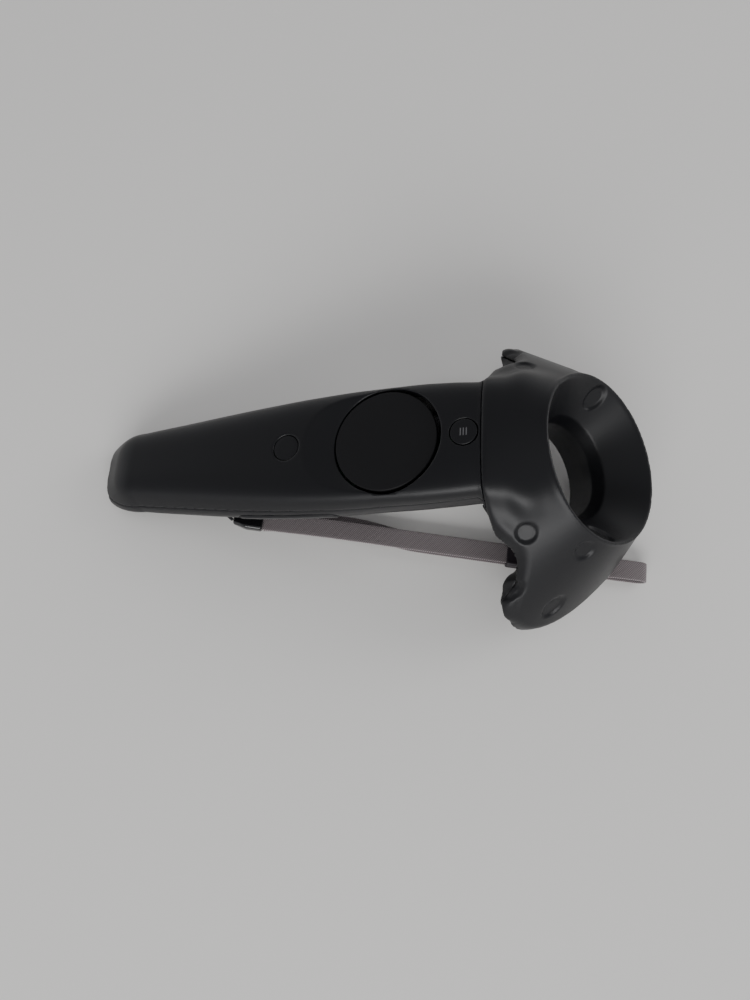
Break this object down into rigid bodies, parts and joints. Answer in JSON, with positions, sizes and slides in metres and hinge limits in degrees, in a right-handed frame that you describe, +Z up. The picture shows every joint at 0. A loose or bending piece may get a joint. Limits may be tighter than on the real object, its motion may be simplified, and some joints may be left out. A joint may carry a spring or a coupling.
{
  "type": "motion controller",
  "caption": "Hand-held motion controller: tapering handle with a round touch pad, trigger and grip buttons, tilted sensor ring with swept wings, and a wrist strap.",
  "frame": {"origin": "middle of the object's box on the table, lying as it rests on its tail and the ring's far edge", "axes": "+X from the tail of the handle to the ring, +Y across, +Z up from the table; the X-Z plane is the plane of symmetry"},
  "size_m": [0.2226, 0.1172, 0.069],
  "materials": {
    "shell_plastic": "near-black matt moulded plastic, satin where it is handled",
    "touch_surface": "flat fine-grained black touch surface",
    "button_plastic": "near-black moulded plastic",
    "glossy_plastic": "glossy black moulded plastic",
    "frame_plastic": "dark grey glass-filled nylon",
    "circuit_board": "green laminate",
    "steel": "bare stainless steel",
    "switch_plastic": "black switch housings",
    "sensor_filter": "dark infrared-pass plastic",
    "battery_foil": "silver pouch foil",
    "magnet": "nickel plate",
    "light_pipe": "cloudy clear plastic",
    "strap_textile": "fine mauve-grey woven band",
    "cord_textile": "black braided cord"
  },
  "bodies": {
    "controller": {"back_tracking_sensors": "sensor_filter", "battery": "battery_foil", "chassis_screws": "steel", "front_tracking_sensors": "sensor_filter", "handle_bottom_shell": "shell_plastic", "handle_top_cover": "shell_plastic", "haptic_actuator": "frame_plastic", "head_back_shell": "shell_plastic", "head_board": "circuit_board", "head_front_shell": "shell_plastic", "lanyard_cord": "cord_textile", "lanyard_post": "steel", "left_grip_switch": "switch_plastic", "left_trigger_cheek": "frame_plastic", "main_board": "circuit_board", "menu_board": "circuit_board", "menu_switch": "switch_plastic", "mid_frame": "frame_plastic", "radio_shield": "steel", "ribbon_cable": "circuit_board", "right_grip_switch": "switch_plastic", "right_trigger_cheek": "frame_plastic", "sensor_flex": "circuit_board", "socket_board": "circuit_board", "status_light_pipe": "light_pipe", "strap_crimp": "glossy_plastic", "system_board": "circuit_board", "system_switch": "switch_plastic", "touch_pad_bracket": "frame_plastic", "touch_pad_switch": "switch_plastic", "trigger_pin": "steel", "trigger_sensor": "switch_plastic", "trigger_spring": "steel", "trigger_switch": "switch_plastic", "usb_socket": "steel", "wrist_strap": "strap_textile"},
    "touch_pad": {"touch_pad": "touch_surface", "touch_pad_board": "circuit_board"},
    "menu_button": {"menu_button": "button_plastic"},
    "system_button": {"system_button": "button_plastic"},
    "trigger": {"trigger": "shell_plastic", "trigger_magnet": "magnet"},
    "left_grip_button": {"left_grip_button": "shell_plastic"},
    "right_grip_button": {"right_grip_button": "shell_plastic"},
    "strap_slider": {"strap_slider": "button_plastic"}
  },
  "joints": [
    {"name": "touch_pad_press", "type": "slide", "parent": "controller", "child": "touch_pad", "axis": [0.3305, 0, -0.9438], "range_m": [0, 0.0006], "stiffness_N_per_m": 6000},
    {"name": "menu_press", "type": "slide", "parent": "controller", "child": "menu_button", "axis": [0.3305, 0, -0.9438], "range_m": [0, 0.0004], "stiffness_N_per_m": 3000},
    {"name": "system_press", "type": "slide", "parent": "controller", "child": "system_button", "axis": [0.3305, 0, -0.9438], "range_m": [0, 0.0004], "stiffness_N_per_m": 3000},
    {"name": "trigger_pull", "type": "hinge", "parent": "controller", "child": "trigger", "pos_m": [0.03577, 0, 0.0415], "axis": [0, 1, 0], "range_deg": [0, 16], "stiffness_Nm_per_rad": 0.35, "springref_deg": -8.59},
    {"name": "left_grip_press", "type": "slide", "parent": "controller", "child": "left_grip_button", "axis": [0, -1, 0], "range_m": [0, 0.0006], "stiffness_N_per_m": 5000},
    {"name": "right_grip_press", "type": "slide", "parent": "controller", "child": "right_grip_button", "axis": [0, 1, 0], "range_m": [0, 0.0006], "stiffness_N_per_m": 5000},
    {"name": "slider_slide", "type": "slide", "parent": "controller", "child": "strap_slider", "axis": [0.9962, -0.0872, 0], "range_m": [-0.035, 0.003]}
  ]
}
